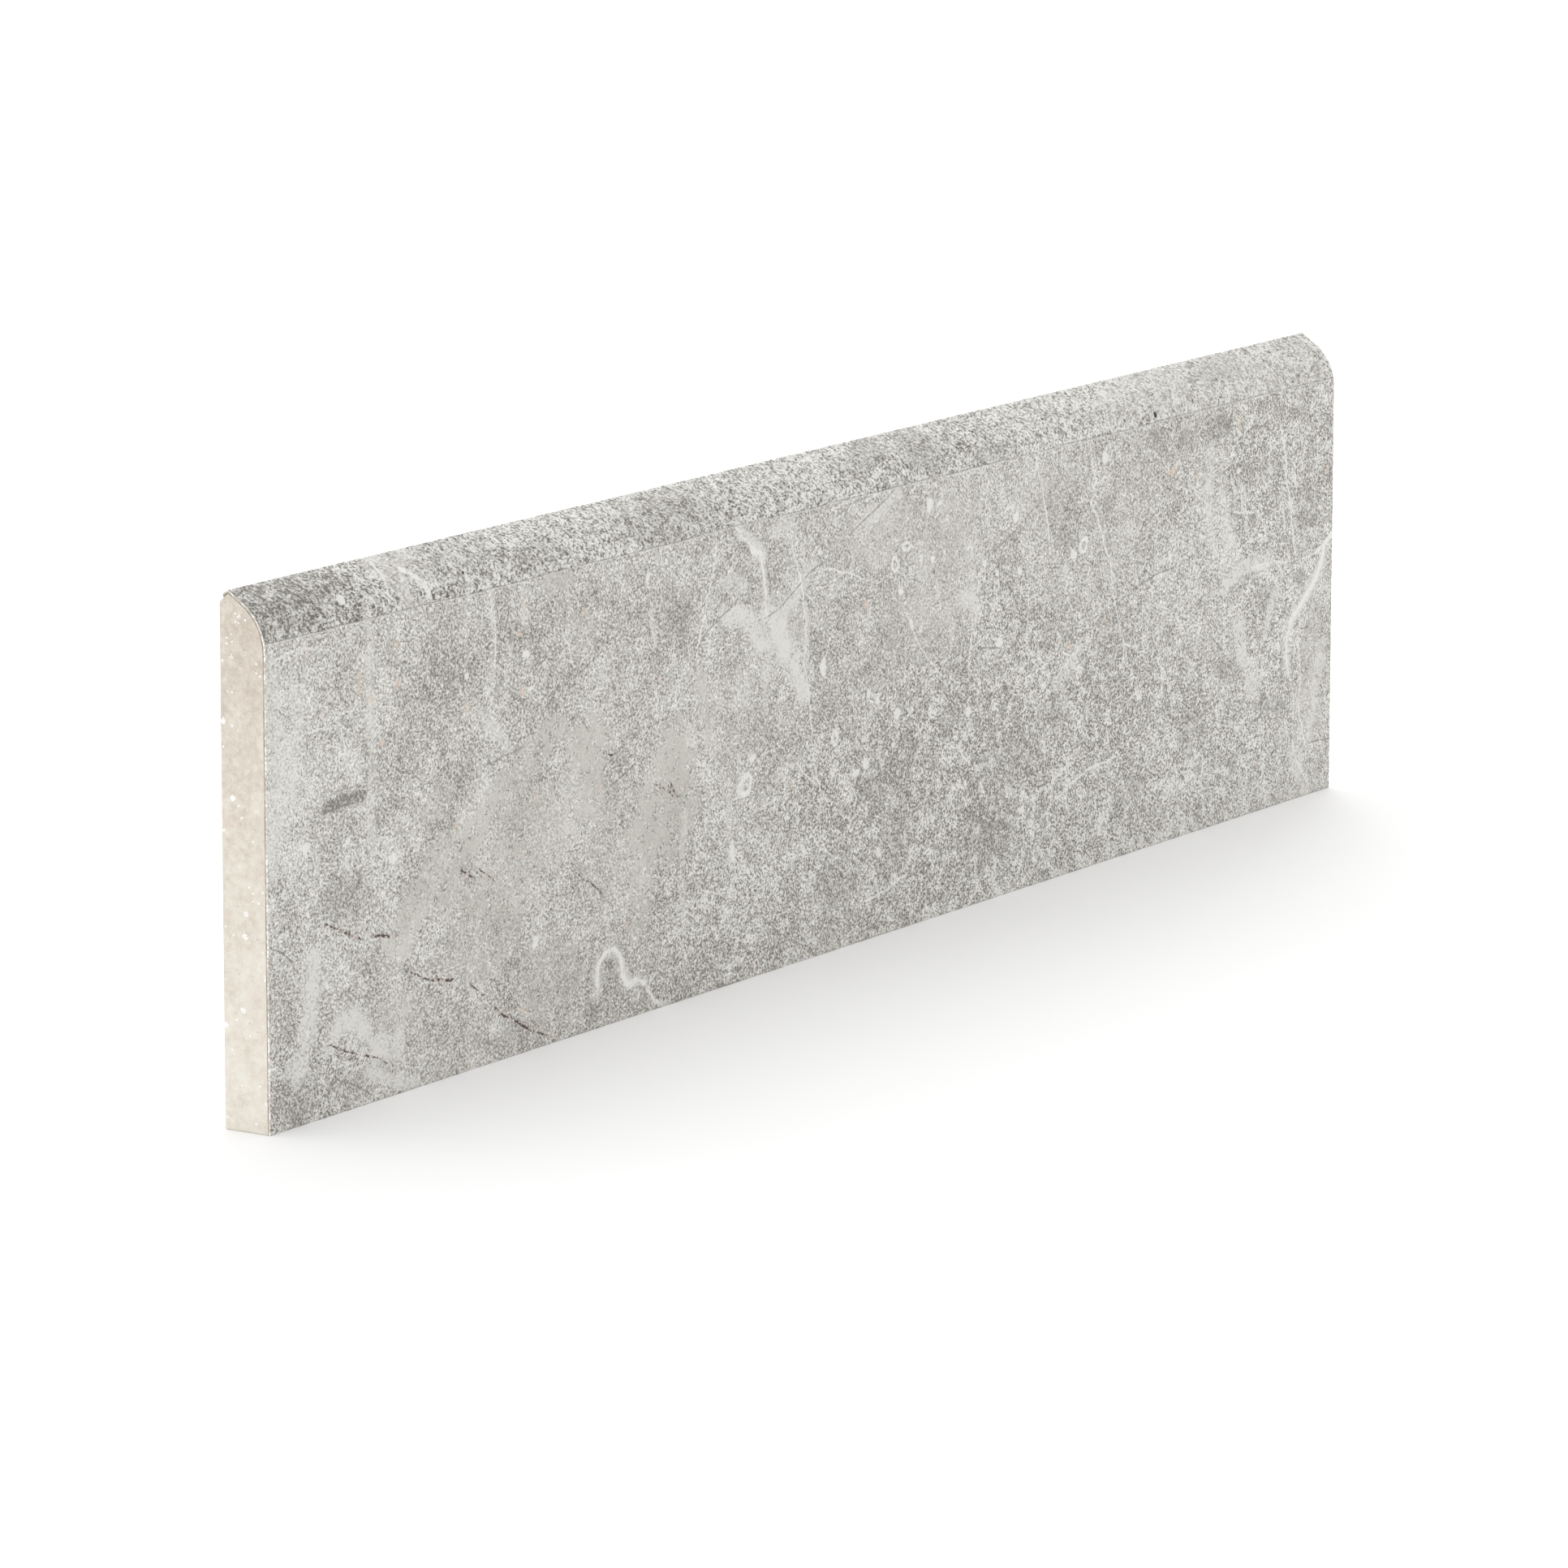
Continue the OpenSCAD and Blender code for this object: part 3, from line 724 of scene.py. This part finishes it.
class Finish:
    """A material under construction; each method adds one node and returns its output."""

    def __init__(self, name):
        self.material = bpy.data.materials.new(name)
        self.material.use_nodes = True
        self.nodes = self.material.node_tree.nodes
        self.links = self.material.node_tree.links
        self.nodes.clear()

    def node(self, kind, **settings):
        made = self.nodes.new("ShaderNode" + kind)
        for key, value in settings.items():
            setattr(made, key, value)
        return made

    def feed(self, socket, value):
        if isinstance(value, bpy.types.NodeSocket):
            self.links.new(value, socket)
        else:
            socket.default_value = value

    def math(self, operation, a, b=0.0, clamp=False):
        made = self.node("Math", operation=operation, use_clamp=clamp)
        self.feed(made.inputs[0], a)
        self.feed(made.inputs[1], b)
        return made.outputs[0]

    def add(self, *values):
        total = values[0]
        for value in values[1:]:
            total = self.math("ADD", total, value)
        return total

    def times(self, a, b):
        return self.math("MULTIPLY", a, b)

    def step(self, value, low, high, out_low=0.0, out_high=1.0):
        """Smooth step of a value between two edges."""
        made = self.node("MapRange", interpolation_type="SMOOTHSTEP")
        for socket, given in zip(made.inputs, (value, low, high, out_low, out_high)):
            self.feed(socket, given)
        return made.outputs[0]

    def blend(self, factor, under, over):
        made = self.node("Mix", data_type="RGBA")
        self.feed(made.inputs[0], factor)
        self.feed(made.inputs[6], under)
        self.feed(made.inputs[7], over)
        return made.outputs[2]

    def ramp(self, value, stops):
        made = self.node("ValToRGB")
        band = made.color_ramp
        while len(band.elements) < len(stops):
            band.elements.new(0.5)
        for element, (place, colour) in zip(band.elements, stops):
            element.position = place
            element.color = colour
        self.feed(made.inputs[0], value)
        return made.outputs[0]

    def attribute(self, name):
        return self.node("Attribute", attribute_name=name).outputs["Fac"]

    def on_skin(self):
        """Place on the skin of the tile, in millimetres."""
        made = self.node("VectorMath", operation="SCALE")
        self.feed(made.inputs[0], self.node("UVMap", uv_map="skin").outputs[0])
        made.inputs["Scale"].default_value = 1000
        return made.outputs[0]

    def in_body(self):
        """Place in the tile, in millimetres."""
        made = self.node("VectorMath", operation="SCALE")
        self.feed(made.inputs[0], self.node("TexCoord").outputs["Object"])
        made.inputs["Scale"].default_value = 1000
        return made.outputs[0]

    def turned(self, place, angle, stretch):
        """Place turned by an angle in degrees about the third axis, then stretched."""
        made = self.node("Mapping", vector_type="POINT")
        self.feed(made.inputs["Vector"], place)
        made.inputs["Rotation"].default_value = (0, 0, math.radians(angle))
        made.inputs["Scale"].default_value = stretch
        return made.outputs[0]

    def aslant(self, place):
        """The same place, tipped so that no noise lattice lines up with the surface."""
        made = self.node("Mapping", vector_type="POINT")
        self.feed(made.inputs["Vector"], place)
        made.inputs["Rotation"].default_value = (0.6, 0.45, 0.7)
        return made.outputs[0]

    def moved(self, place, seed):
        """The same place, moved far along, so that each layer has a pattern of its own."""
        made = self.node("VectorMath", operation="ADD")
        self.feed(made.inputs[0], place)
        made.inputs[1].default_value = (137.3 * seed + 500, 71.7 * seed, 29.1 * seed)
        return made.outputs[0]

    def noise(self, place, scale, detail=0.0, rough=0.5, distort=0.0, seed=0.0):
        made = self.node("TexNoise")
        self.feed(made.inputs["Vector"], self.moved(place, seed))
        made.inputs["Scale"].default_value = scale
        made.inputs["Detail"].default_value = detail
        made.inputs["Roughness"].default_value = rough
        made.inputs["Distortion"].default_value = distort
        return made.outputs[0]

    def lump(self, *noise, gain=1.0, **more):
        """Noise about zero, times a gain."""
        return self.times(self.math("SUBTRACT", self.noise(*noise, **more), 0.5), gain)

    def drawn(self, name, soft, noise, gain, faint=1.0):
        """Cover of the drawn lines held by an attribute, with a ragged, soft edge.

        Thin lines are only as strong as faint says.
        """
        parts = self.node("SeparateXYZ")
        self.feed(parts.inputs[0], self.node("Attribute", attribute_name=name).outputs["Vector"])
        side, plain, width = parts.outputs
        off = self.math("SUBTRACT", self.math("ABSOLUTE", side), width)
        cover = self.step(self.add(off, self.times(noise, gain)), -soft, soft, 1.0, 0.0)
        cover = self.times(cover, self.step(width, 0.15, 0.6, faint, 1.0))
        return self.times(cover, self.step(plain, 0.75 * LINE_REACH, LINE_REACH, 1.0, 0.0))

    def specks(self, place, scale, size, seed=0.0, share=1.0, dimensions="2D"):
        """1 inside scattered round grains of uneven size, 0 outside, in a share of the cells."""
        made = self.node("TexVoronoi", voronoi_dimensions=dimensions, feature="F1")
        self.feed(made.inputs["Vector"], self.moved(place, seed))
        made.inputs["Scale"].default_value = scale
        chance = self.node("SeparateXYZ")
        self.feed(chance.inputs[0], made.outputs["Color"])
        reach = self.times(self.step(chance.outputs[0], 1.0 - share, 1.0, 0.3, 1.0), size)
        picked = self.math("GREATER_THAN", chance.outputs[1], 1.0 - share)
        inside = self.math("SUBTRACT", reach, made.outputs["Distance"])
        return self.times(picked, self.step(inside, 0.0, 0.3 * size))

    def close(self, colour, roughness, height=None, bump=0.0, specular=0.5):
        shader = self.node("BsdfPrincipled")
        self.feed(shader.inputs["Base Color"], colour)
        self.feed(shader.inputs["Roughness"], roughness)
        shader.inputs["Specular IOR Level"].default_value = specular
        if height is not None:
            made = self.node("Bump")
            made.inputs["Strength"].default_value = 1.0
            made.inputs["Distance"].default_value = bump
            self.feed(made.inputs["Height"], height)
            self.feed(shader.inputs["Normal"], made.outputs[0])
        end = self.node("OutputMaterial")
        self.feed(end.inputs["Surface"], shader.outputs[0])
        return self.material


CEMENT = [(0.0, shade(106, 99, 91)), (0.25, shade(144, 140.5, 133.5)),
          (0.5, shade(183.5, 181, 174.5)), (0.75, shade(211.5, 209, 203.5)),
          (1.0, shade(233, 231.5, 226.5))]
NOSE_CEMENT = [(0.0, shade(92, 85, 76)), (0.25, shade(138, 134, 126)),
               (0.5, shade(179, 176.5, 170)), (0.75, shade(214, 212, 206.5)),
               (1.0, shade(230, 229, 225))]
LIME = shade(230, 229, 224)
WASH = shade(219, 217, 211)
SMUDGE = shade(126, 122, 115)
RUST_BROWN = shade(72, 57, 48)
RUST_TINGE = shade(184, 158, 138)
BLUSH_PINK = shade(216, 196, 179)
WORN_BEIGE = shade(202, 198, 191)
SCRATCH_GREY = shade(104, 100, 95)
# painted shade inside the open pores
PORE_SHADE = shade(52, 46, 40)


def worn_patches(f, skin):
    """How far the print is worn off, in ragged patches."""
    ragged = f.noise(skin, 0.55, 3.0, 0.65, seed=10.0)
    return f.times(f.attribute("bare"), f.step(ragged, 0.38, 0.52))


def face_grain(f, flat):
    """Tone of the print on the face: flecks, finer and finer, opened up where it is coarse."""
    skin = f.aslant(flat)
    coarse = f.attribute("coarse")
    worn = worn_patches(f, skin)
    fine = f.lump(skin, 2.3, 2.5, 0.85, gain=3.4)
    grit = f.lump(skin, 0.8, 1.0, gain=0.35, seed=1.0)
    soft = f.lump(skin, 0.27, 2.0, gain=0.44, seed=2.0)
    broad = f.lump(skin, 0.085, 2.0, gain=0.48, seed=3.0)
    bloom = f.step(f.noise(skin, 0.32, 5.0, 0.9, 0.3, seed=6.0), 0.525, 0.555)
    dots = f.times(f.specks(flat, 1.0, 0.34, seed=1.0, share=0.5), 0.2)
    bigger = f.times(f.specks(flat, 0.4, 0.22, seed=2.0, share=0.35), 0.22)
    curls = f.math("ABSOLUTE", f.lump(skin, 1.1, 1.0, gain=1.0, seed=4.0))
    curls = f.step(curls, 0.015, 0.06, 1.0, 0.0)
    pale = f.times(f.times(coarse, f.step(fine, -0.4, -0.05, 0.1, 1.0)),
                   f.math("MAXIMUM", bloom, f.times(curls, 0.45)))

    opened = f.add(1.0, f.times(coarse, 0.62), f.times(worn, -0.65))
    flecked = f.times(f.add(fine, grit, dots), opened)
    spread = f.times(f.add(soft, f.times(bloom, f.step(coarse, 0.0, 0.6, 0.1, 0.22))),
                     f.add(1.0, f.times(worn, -0.7)))
    return f.add(flecked, spread, broad, bigger, f.times(coarse, -0.13)), worn, pale


def nose_grain(f, flat):
    """Tone of the print on the nose: coarser, pale curls over dark gaps, dragged aslant."""
    dragged = f.aslant(f.turned(flat, 40, (0.8, 1.0, 1.0)))
    skin = f.aslant(flat)
    fine = f.lump(dragged, 2.2, 2.5, 0.85, gain=3.4)
    grit = f.lump(dragged, 0.8, 1.0, gain=0.7, seed=1.0)
    soft = f.lump(skin, 0.25, 2.0, gain=0.38, seed=2.0)
    gaps = f.times(f.step(f.noise(dragged, 1.3, 2.0, 0.7, seed=5.0), 0.37, 0.47, 1.0, 0.0), -0.4)
    worn = worn_patches(f, skin)
    opened = f.add(1.0, f.times(worn, -0.5))
    bloom = f.step(f.noise(skin, 0.42, 5.0, 0.9, 0.3, seed=9.0), 0.5, 0.54)
    curls = f.math("ABSOLUTE", f.lump(dragged, 1.0, 1.0, gain=1.0, seed=4.0))
    curls = f.step(curls, 0.02, 0.07, 1.0, 0.0)
    pale = f.times(f.step(fine, -0.4, 0.0, 0.1, 0.9), f.math("MAXIMUM", bloom, f.times(curls, 0.7)))
    return f.add(f.times(f.add(fine, grit, gaps), opened), soft, -0.12), worn, pale


def cement_print(name, grain_of, ground, tones, seam_low, seam_high, seam_shading_colour):
    """The cement-look print under a matt glaze, with a line of the given seam colour along the
    seam: painted shade under the lip of the nose coat, a painted highlight along the top edge of
    the face coat.
    """
    f = Finish(name)
    flat = f.on_skin()
    grain, worn, pale = grain_of(f, flat)
    skin = f.aslant(flat)
    colour = f.ramp(f.add(ground, f.attribute("tone"), grain), tones)
    colour = f.blend(pale, colour, LIME)
    colour = f.blend(f.times(worn, 0.55), colour, WORN_BEIGE)

    ragged = f.lump(skin, 1.9, 3.0, 0.65, seed=7.0)
    smudge = f.times(f.attribute("dusk"), f.step(grain, -0.2, 0.6, 1.0, 0.5))
    colour = f.blend(smudge, colour, SMUDGE)
    haze = f.math("MINIMUM", f.times(f.attribute("haze"), 1.5), 1.0)
    haze = f.times(haze, f.step(f.add(grain, ragged), -0.8, 0.1, 0.3, 0.92))
    colour = f.blend(haze, colour, WASH)
    blush = f.step(f.add(f.attribute("blush"), f.times(ragged, 1.4)), 0.3, 0.8, 0.0, 0.6)
    colour = f.blend(blush, colour, BLUSH_PINK)
    drops = f.step(f.add(f.attribute("chalk"), f.times(ragged, 1.1)), 0.3, 0.7, 0.0, 0.85)
    colour = f.blend(drops, colour, LIME)
    veins = f.times(f.drawn("vein", 0.14, ragged, 0.6, faint=0.8),
                    f.step(grain, -0.6, 0.1, 0.6, 1.0))
    colour = f.blend(veins, colour, LIME)
    scratches = f.times(f.drawn("scratch", 0.1, ragged, 0.5),
                        f.step(ragged, -0.12, 0.1, 0.1, 0.85))
    colour = f.blend(scratches, colour, SCRATCH_GREY)
    stained = f.times(f.drawn("rust", 0.3, ragged, 1.2), f.step(grain, -0.3, 0.3, 0.15, 0.6))
    colour = f.blend(stained, colour, RUST_TINGE)
    cracks = f.times(f.drawn("rust", 0.08, ragged, 0.7),
                     f.step(f.noise(skin, 1.1, 1.0, seed=11.0), 0.42, 0.52))
    colour = f.blend(cracks, colour, RUST_BROWN)
    # painted shade inside the open pores
    colour = f.blend(f.step(f.attribute("pore_shade"), 0.42, 0.6), colour, PORE_SHADE)

    # Painted light along the seam: a highlight on the top edge of the face coat, shade under the
    # lip of the nose coat.
    place = f.node("SeparateXYZ")
    f.feed(place.inputs[0], flat)
    up = f.add(place.outputs[1], f.times(ragged, 0.25))
    seam = f.times(f.step(up, seam_low - 0.06, seam_low + 0.06),
                   f.step(up, seam_high - 0.06, seam_high + 0.06, 1.0, 0.0))
    broken = f.step(ragged, -0.25, 0.2, 0.1, 0.75)
    colour = f.blend(f.times(seam, broken), colour, seam_shading_colour)

    height = f.add(f.times(grain, 0.5), f.lump(skin, 4.5, 1.0, gain=0.6, seed=9.0),
                   f.times(drops, 0.25), f.times(cracks, -0.6))
    roughness = f.add(0.56, f.lump(skin, 0.5, 1.0, gain=0.12, seed=8.0))
    return f.close(colour, roughness, height, 0.02 * MM)


# The face coat's pale seam line is a painted highlight; the nose coat's dark seam line is painted
# shade.
face_print = cement_print("cement_print_face", face_grain, 0.52, CEMENT,
                          SEAM_S - 0.2, SEAM_S + 1, shade(214, 212, 206))
nose_print = cement_print("cement_print_nose", nose_grain, 0.565, NOSE_CEMENT,
                          SEAM_S - 1, SEAM_S + 0.22, shade(132, 129, 123))


def cut_glaze():
    f = Finish("cut_glaze_edge")
    body = f.in_body()
    tone = f.add(0.55, f.lump(body, 2.2, 2.0, gain=1.6), f.lump(body, 0.5, 1.0, gain=0.8, seed=1.0))
    colour = f.ramp(tone, [(0.2, shade(188, 182, 172)), (0.5, shade(214, 209, 201)),
                           (0.62, shade(228, 224, 217)), (0.72, shade(255, 254, 252))])
    return f.close(colour, 0.35, tone, 0.01 * MM)


def engobe():
    f = Finish("engobe")
    body = f.in_body()
    tone = f.add(0.5, f.lump(body, 1.6, 2.0, gain=1.3), f.lump(body, 0.3, 1.0, gain=1.0, seed=1.0))
    colour = f.ramp(tone, [(0.1, shade(132, 118, 105)), (0.8, shade(192, 182, 169))])
    return f.close(colour, 0.8, tone, 0.015 * MM)


def fired_biscuit():
    """Cream stoneware, darker towards the nose and lifted at the foot by painted light, with quartz
    grains, iron specks, painted shade in the grooves and kiln wash on the crests that is also a
    painted highlight.
    """
    f = Finish("fired_biscuit")
    body = f.in_body()
    place = f.node("SeparateXYZ")
    f.feed(place.inputs[0], body)
    along, inwards, up = place.outputs
    ragged = f.lump(body, 2.6, 2.0, gain=1.0, seed=7.0)
    # Painted light: the tone is lifted at the foot against its contact shadow; it also falls
    # towards the nose.
    painted_foot_light_darker_top = f.step(up, 0.0, TOP / MM, 0.14, -0.24)
    tone = f.add(0.6, painted_foot_light_darker_top, f.lump(body, 0.22, 2.0, gain=0.7),
                 f.lump(body, 0.9, 2.0, 0.6, gain=0.9, seed=1.0),
                 f.lump(body, 3.5, 1.0, gain=0.5, seed=4.0))
    colour = f.ramp(tone, [(0.0, shade(197, 187, 172)), (0.25, shade(209.5, 200, 187)),
                           (0.6, shade(227, 219.5, 207)), (0.9, shade(236, 231, 221))])
    warm = f.step(f.noise(body, 0.35, 2.0, seed=8.0), 0.5, 0.75, 0.0, 0.35)
    colour = f.blend(warm, colour, shade(226, 213, 200))
    warped = f.node("VectorMath", operation="ADD")
    f.feed(warped.inputs[0], body)
    f.feed(warped.inputs[1], f.times(ragged, 1.8))
    quartz = f.specks(warped.outputs[0], 0.5, 0.3, seed=2.0, share=0.42, dimensions="3D")
    fine_quartz = f.specks(body, 1.1, 0.25, seed=3.0, share=0.3, dimensions="3D")
    threads = f.math("ABSOLUTE", f.lump(body, 0.8, 1.0, gain=1.0, seed=6.0))
    threads = f.times(f.step(threads, 0.004, 0.016, 1.0, 0.0),
                      f.specks(body, 0.3, 0.3, seed=9.0, share=0.16, dimensions="3D"))
    bright = f.math("MAXIMUM", f.math("MAXIMUM", quartz, fine_quartz), threads)
    colour = f.blend(bright, colour, shade(254, 253, 251))
    iron = f.times(f.specks(body, 0.6, 0.1, seed=5.0, share=0.25, dimensions="3D"), 0.45)
    colour = f.blend(iron, colour, shade(158, 138, 118))

    # clear of the cut ends: painted shade darkens the grooves, and kiln wash dusts the crests, also
    # standing as a painted highlight on them
    end, back = HALF_L / MM, BACK / MM
    inland = f.step(f.math("ABSOLUTE", along), end - 1.6, end - 0.6, 1.0, 0.0)
    painted_groove_shade = f.times(inland, f.step(f.add(inwards, ragged), back - 0.7, back - 0.3, 0.55, 0.0))
    colour = f.blend(painted_groove_shade, colour, shade(206, 192, 174))
    chalky = f.step(f.noise(body, 0.6, 4.0, 0.7, seed=12.0), 0.42, 0.6, 0.15, 0.75)
    crest = f.step(f.add(inwards, f.times(ragged, 0.6)), back - 0.3, back - 0.08)
    kiln_wash_and_highlight = f.times(inland, crest)
    colour = f.blend(f.times(kiln_wash_and_highlight, chalky), colour, shade(236, 232, 224))

    height = f.add(f.lump(body, 1.8, 2.0, 0.6, gain=1.0, seed=3.0), f.times(iron, -0.6))
    return f.close(colour, 0.86, height, 0.05 * MM, specular=0.35)


cut_finish, engobe_finish, biscuit_finish = cut_glaze(), engobe(), fired_biscuit()
for coat, finish in ((face_coat, face_print), (nose_coat, nose_print)):
    coat.material_slots[0].material = finish
    coat.material_slots[1].material = cut_finish
biscuit.data.materials.append(biscuit_finish)
for node in ("face_engobe", "nose_engobe"):
    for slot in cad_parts[node].material_slots:
        slot.material = engobe_finish

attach(biscuit, "root")
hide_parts("biscuit_body")
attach(face_coat, "root")
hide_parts("face_glaze")
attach(nose_coat, "root")
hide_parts("nose_glaze")


# -------- floor, light and camera
def floor_finish():
    f = Finish("studio_floor")
    place = f.in_body()
    tone = f.add(0.5, f.lump(place, 0.02, 2.0, gain=0.3))
    colour = f.ramp(tone, [(0.0, (0.95, 0.95, 0.95, 1)), (1.0, (0.97, 0.97, 0.97, 1))])
    return f.close(colour, 0.9, specular=0.1)


deselect_all()
bpy.ops.mesh.primitive_plane_add(size=12, location=(0, 0, 0))
floor = bpy.context.object
floor.name = floor.data.name = "studio_floor"
floor.data.materials.append(floor_finish())


def soft_box(name, place, aim, width, height, watts):
    """A large area light, pointed at a place on the tile."""
    deselect_all()
    bpy.ops.object.light_add(type="AREA", location=place)
    lamp = bpy.context.object
    lamp.name = lamp.data.name = name
    lamp.data.shape = "RECTANGLE"
    lamp.data.size, lamp.data.size_y = width, height
    lamp.data.energy = watts
    lamp.rotation_euler = (Vector(aim) - Vector(place)).to_track_quat("-Z", "Y").to_euler()
    return lamp


world = bpy.data.worlds.new("studio")
bpy.context.scene.world = world
world.use_nodes = True
backdrop = world.node_tree.nodes["Background"]
backdrop.inputs["Color"].default_value = (1, 1, 1, 1)
backdrop.inputs["Strength"].default_value = 1.0
soft_box("overhead_soft_box", (0.2, 0.9, 1.8), (0, 0, 0.03), 2.4, 1.6, 6)
soft_box("right_soft_box", (1.3, 0.7, 0.8), (0.16, 0, 0), 0.8, 0.6, 6)

bpy.context.scene.view_settings.view_transform = "Standard"

CAMERA_TURN = math.radians(-57.15339)   # about Z, from straight in front
CAMERA_RISE = math.radians(11.103184)
CAMERA_ROLL = 0.000932
CAMERA_FAR = 1444.09 * MM
CAMERA_AIM = Vector((-20.52, -4.35, 31.387)) * MM
CAMERA_LENS = 197.893                   # in mm, on a sensor 36 mm wide

from_aim = Vector((math.sin(CAMERA_TURN) * math.cos(CAMERA_RISE),
                   -math.cos(CAMERA_TURN) * math.cos(CAMERA_RISE), math.sin(CAMERA_RISE)))
deselect_all()
bpy.ops.object.camera_add(location=CAMERA_AIM + CAMERA_FAR * from_aim)
camera = bpy.context.object
camera.name = camera.data.name = "camera"
looking = (-from_aim).to_track_quat("-Z", "Y").to_matrix()
roll = Matrix.Rotation(CAMERA_ROLL, 3, "Z")
camera.rotation_euler = (looking @ roll).to_euler()
camera.data.sensor_width = 36
camera.data.lens = CAMERA_LENS
camera.data.clip_start, camera.data.clip_end = 0.05, 50
bpy.context.scene.camera = camera

deselect_all()
